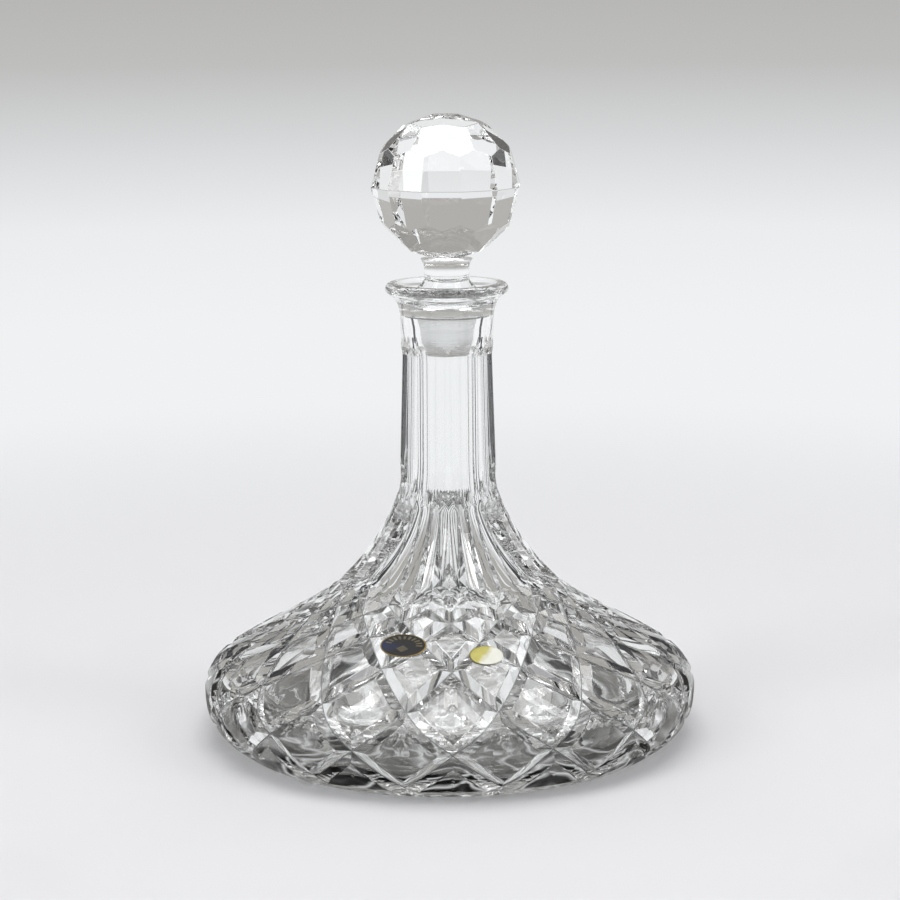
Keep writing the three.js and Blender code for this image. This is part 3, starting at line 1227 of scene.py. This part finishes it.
def stem_skin():
    skin = Skin()
    rings = [plain_ring(*spot) for spot in stem_outline()]
    for lower, upper in zip(rings, rings[1:]):
        satin = plug_end[1] + polished_edge < upper[0][2] < plug_top[1] + satin_margin
        skin.band(upper, lower, finish=int(satin))
    skin.fan((0, 0, plug_end[1]), rings[0], finish=1)
    skin.fan((0, 0, rings[-1][0][2]), rings[-1])
    return skin


print("stem outline:", len(stem_outline()), "points")

# %% [markdown]
# Ball and stem are one glass. Left as two solids that overlap, they would show a false surface
# inside. The stem runs a little way into the ball, and a Boolean union takes away what is hidden.
# The result is kept as a plain mesh, so that the modifier and the spare stem can go.

# %% Ball and stem joined
def joined_stopper():
    stem = placed("stem", stem_skin().mesh("stem", [crystal, ground_glass]))
    ball = placed("ball_stopper", faceted_ball())
    join = ball.modifiers.new("join", "BOOLEAN")
    join.operation = "UNION"
    join.solver = "EXACT"
    join.object = stem
    graph = bpy.context.evaluated_depsgraph_get()
    data = bpy.data.meshes.new_from_object(ball.evaluated_get(graph))
    ball.modifiers.clear()
    ball.data = data
    data.name = "ball_stopper"
    data.shade_smooth()
    data.set_sharp_from_angle(angle=crease)
    bpy.data.objects.remove(stem)
    return ball


stopper = joined_stopper()
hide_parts("stopper")
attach(stopper, "stopper")
print("stopper faces:", len(stopper.data.polygons))

# %% [markdown]
# The two labels are thin printed foil. An image would be the usual way to print them, but the print
# is worked out here from a plain pair of coordinates across the oval, so it stays sharp at any
# size. This one has a black field with a gold rim, an arch of short bars and a lozenge.

# %% Print of the dark label
rim_from = 0.94
arch_from, arch_to = 0.55, 0.82
bars_round = 20
black_tones = (0.004, 0.004, 0.005, 1), (0.012, 0.011, 0.010, 1)
navy_tone = (0.010, 0.017, 0.060, 1)
mark_tone = (0.115, 0.098, 0.050, 1)
rim_tone = (0.21, 0.15, 0.055, 1)
print_height = 0.02 * mm


def oval_place(foil):
    split = foil.node("ShaderNodeSeparateXYZ", None, {0: foil.place("UV")}).socket.node
    across = (Wire(foil, split.outputs[0]) - 0.5) * 2
    up = (Wire(foil, split.outputs[1]) - 0.5) * 2
    return across, up, (across ** 2 + up ** 2) ** 0.5


def make_dark_foil():
    material, foil = new_material("dark_foil")
    across, up, reach = oval_place(foil)
    rim = reach.over(rim_from)
    arch = reach.over(arch_from) * (1 - reach.over(arch_to)) * up.over(0.0)
    turn = foil.node("ShaderNodeMath", {"operation": "ARCTAN2"}, {0: up, 1: across})
    bars = foil.node("ShaderNodeMath", {"operation": "SINE"}, {0: turn * bars_round}).over(0.1)
    lozenge = 1 - (abs(across) * 1.1 + abs(up + 0.3)).over(0.3)
    grain = foil.noise(foil.place(), 1100.0, 3.0)
    marks = ((arch * bars + lozenge * 0.6) * (0.5 + grain)).clamped()
    navy = (0.35 - across * 0.9 - abs(up + 0.15) * 1.4).clamped()
    black = foil.mix(grain, *black_tones)
    field = foil.mix(navy, black, navy_tone)
    printed = foil.mix(marks, field, mark_tone)
    foil.set(
        Base_Color=foil.mix(rim, printed, rim_tone), Metallic=rim * 0.6,
        Roughness=0.34 + grain * 0.12, Normal=foil.bump(marks + rim, print_height))
    foil.shader.inputs["Specular IOR Level"].default_value = 0.2
    return material


dark_foil = make_dark_foil()
print("dark foil nodes:", len(dark_foil.node_tree.nodes))

# %% [markdown]
# The second label is bare gold foil. Metallic alone would leave it dark wherever it mirrors the mat,
# so one side is painted paler. That is a painted reflection of the white board, as crinkled foil
# would catch it. Both labels have a paper back, which shows through the glass from behind.

# %% Gold foil, and the paper on the back
edge_from = 0.92
gold_tones = (0.24, 0.21, 0.035, 1), (0.42, 0.38, 0.09, 1)
# These pale tones are a painted reflection of the white board on one side of the gold foil.
painted_sheen_tones = (0.70, 0.70, 0.60, 1), (0.80, 0.80, 0.72, 1)
edge_tone = (0.07, 0.06, 0.02, 1)
paper_tones = (0.80, 0.74, 0.52, 1), (0.92, 0.88, 0.72, 1)
crinkle_height = 0.03 * mm


def make_gold_foil():
    material, foil = new_material("gold_foil")
    across, up, reach = oval_place(foil)
    crinkle = foil.noise(foil.place(), 420.0, 4.0, 0.6)
    # This mask paints one side paler, a painted reflection of the white board in the foil.
    paper_and_sheen = ((0.18 + across * 0.8 - up * 0.5 + (crinkle - 0.5) * 0.4) * 3).clamped()
    edge = reach.over(edge_from) * (0.2 - across * 0.8 - up * 0.8).clamped()
    gold = foil.mix(crinkle, *gold_tones)
    painted_sheen = foil.mix(crinkle, *painted_sheen_tones)
    foil.set(
        Base_Color=foil.mix(edge, foil.mix(paper_and_sheen, gold, painted_sheen), edge_tone),
        Metallic=((1 - paper_and_sheen) * 0.35).clamped(), Roughness=0.32 + paper_and_sheen * 0.25,
        Normal=foil.bump(crinkle, crinkle_height))
    return material


def make_label_back():
    material, paper_and_sheen = new_material("label_back")
    fibres = paper_and_sheen.noise(paper_and_sheen.place(), 1500.0, 4.0, 0.6)
    paper_and_sheen.set(Base_Color=paper_and_sheen.mix(fibres, *paper_tones), Roughness=0.8)
    return material


gold_foil = make_gold_foil()
label_back = make_label_back()
print("gold foil nodes:", len(gold_foil.node_tree.nodes))

# %% [markdown]
# A label is a small oval plate. A circle scaled to an oval would do for one face. The plate is built
# as rings from the middle out and round the edge, so that it has a front, a thin rounded edge and a
# back. The UV map is laid with it and runs from 0 to 1 across the oval, where the print looks it up.

# %% An oval plate
foil_thickness = 0.3
foil_gap = 0.25
foil_crease = math.radians(40)
label_rings = 8
label_sides = 72
flat_share = 0.97
edge_drop = 0.08


def label_levels():
    top = foil_gap + foil_thickness
    levels = [(i / label_rings * flat_share, top) for i in range(1, label_rings + 1)]
    return levels + [(1.0, top - edge_drop), (1.0, foil_gap)]


def oval_plate(name, spot):
    plate = bmesh.new()
    uv = plate.loops.layers.uv.new("oval")
    turns = [2 * math.pi * i / label_sides for i in range(label_sides)]
    places = {}

    def corner(share, angle, lift):
        made = plate.verts.new(spot(share, angle, lift))
        places[made] = (0.5 + share * math.cos(angle) / 2, 0.5 + share * math.sin(angle) / 2)
        return made

    levels = label_levels()
    rings = [[corner(share, angle, lift) for angle in turns] for share, lift in levels]
    for side, end in enumerate((0, -1)):
        middle = corner(0, 0, levels[end][1])
        for i in range(label_sides):
            face = plate.faces.new((middle, rings[end][i], rings[end][(i + 1) % label_sides]))
            face.material_index = side
    for lower, upper in zip(rings, rings[1:]):
        for i in range(label_sides):
            after = (i + 1) % label_sides
            plate.faces.new((lower[i], lower[after], upper[after], upper[i]))
    for face in plate.faces:
        for loop in face.loops:
            loop[uv].uv = places[loop.vert]
    bmesh.ops.recalc_face_normals(plate, faces=plate.faces)
    data = bpy.data.meshes.new(name)
    plate.to_mesh(data)
    plate.free()
    return data


print("rings of a label:", len(label_levels()))

# %% [markdown]
# Each label lies flat on the glass, a hair off it. A Shrinkwrap modifier could press it on, but it
# would crease over the cuts, where real foil spans them. So the plate stays flat and takes its place
# and its tilt from the body: so many half pitches from the front, and so many rows down.

# %% The labels in their places
def foil_label(name, node, material, width, height, step, row):
    centre = Vector(skin_point(step, height_at(row), 0))
    out_radius, out_up = facing_at(height_at(row))
    out = Vector(round_point(step, out_radius, out_up))
    across = Vector(round_point(step + grooves / 2, 1, 0))
    up = out.cross(across)

    def spot(share, angle, lift):
        sideways = across * (share * width / 2 * math.cos(angle))
        upwards = up * (share * height / 2 * math.sin(angle))
        return (centre + (sideways + upwards) + out * lift) * mm

    data = oval_plate(name, spot)
    data.materials.append(material)
    data.materials.append(label_back)
    data.shade_smooth()
    data.set_sharp_from_angle(angle=foil_crease)
    label = placed(name, data)
    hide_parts(node)
    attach(label, "decanter")
    return label


labels = [
    foil_label("dark_oval_foil", "oval_label", dark_foil,
               width=18, height=11.6, step=-1.56, row=2.27),
    foil_label("small_gold_foil", "gold_label", gold_foil,
               width=13, height=10, step=1.05, row=2.63)]
print("labels:", [label.name for label in labels])
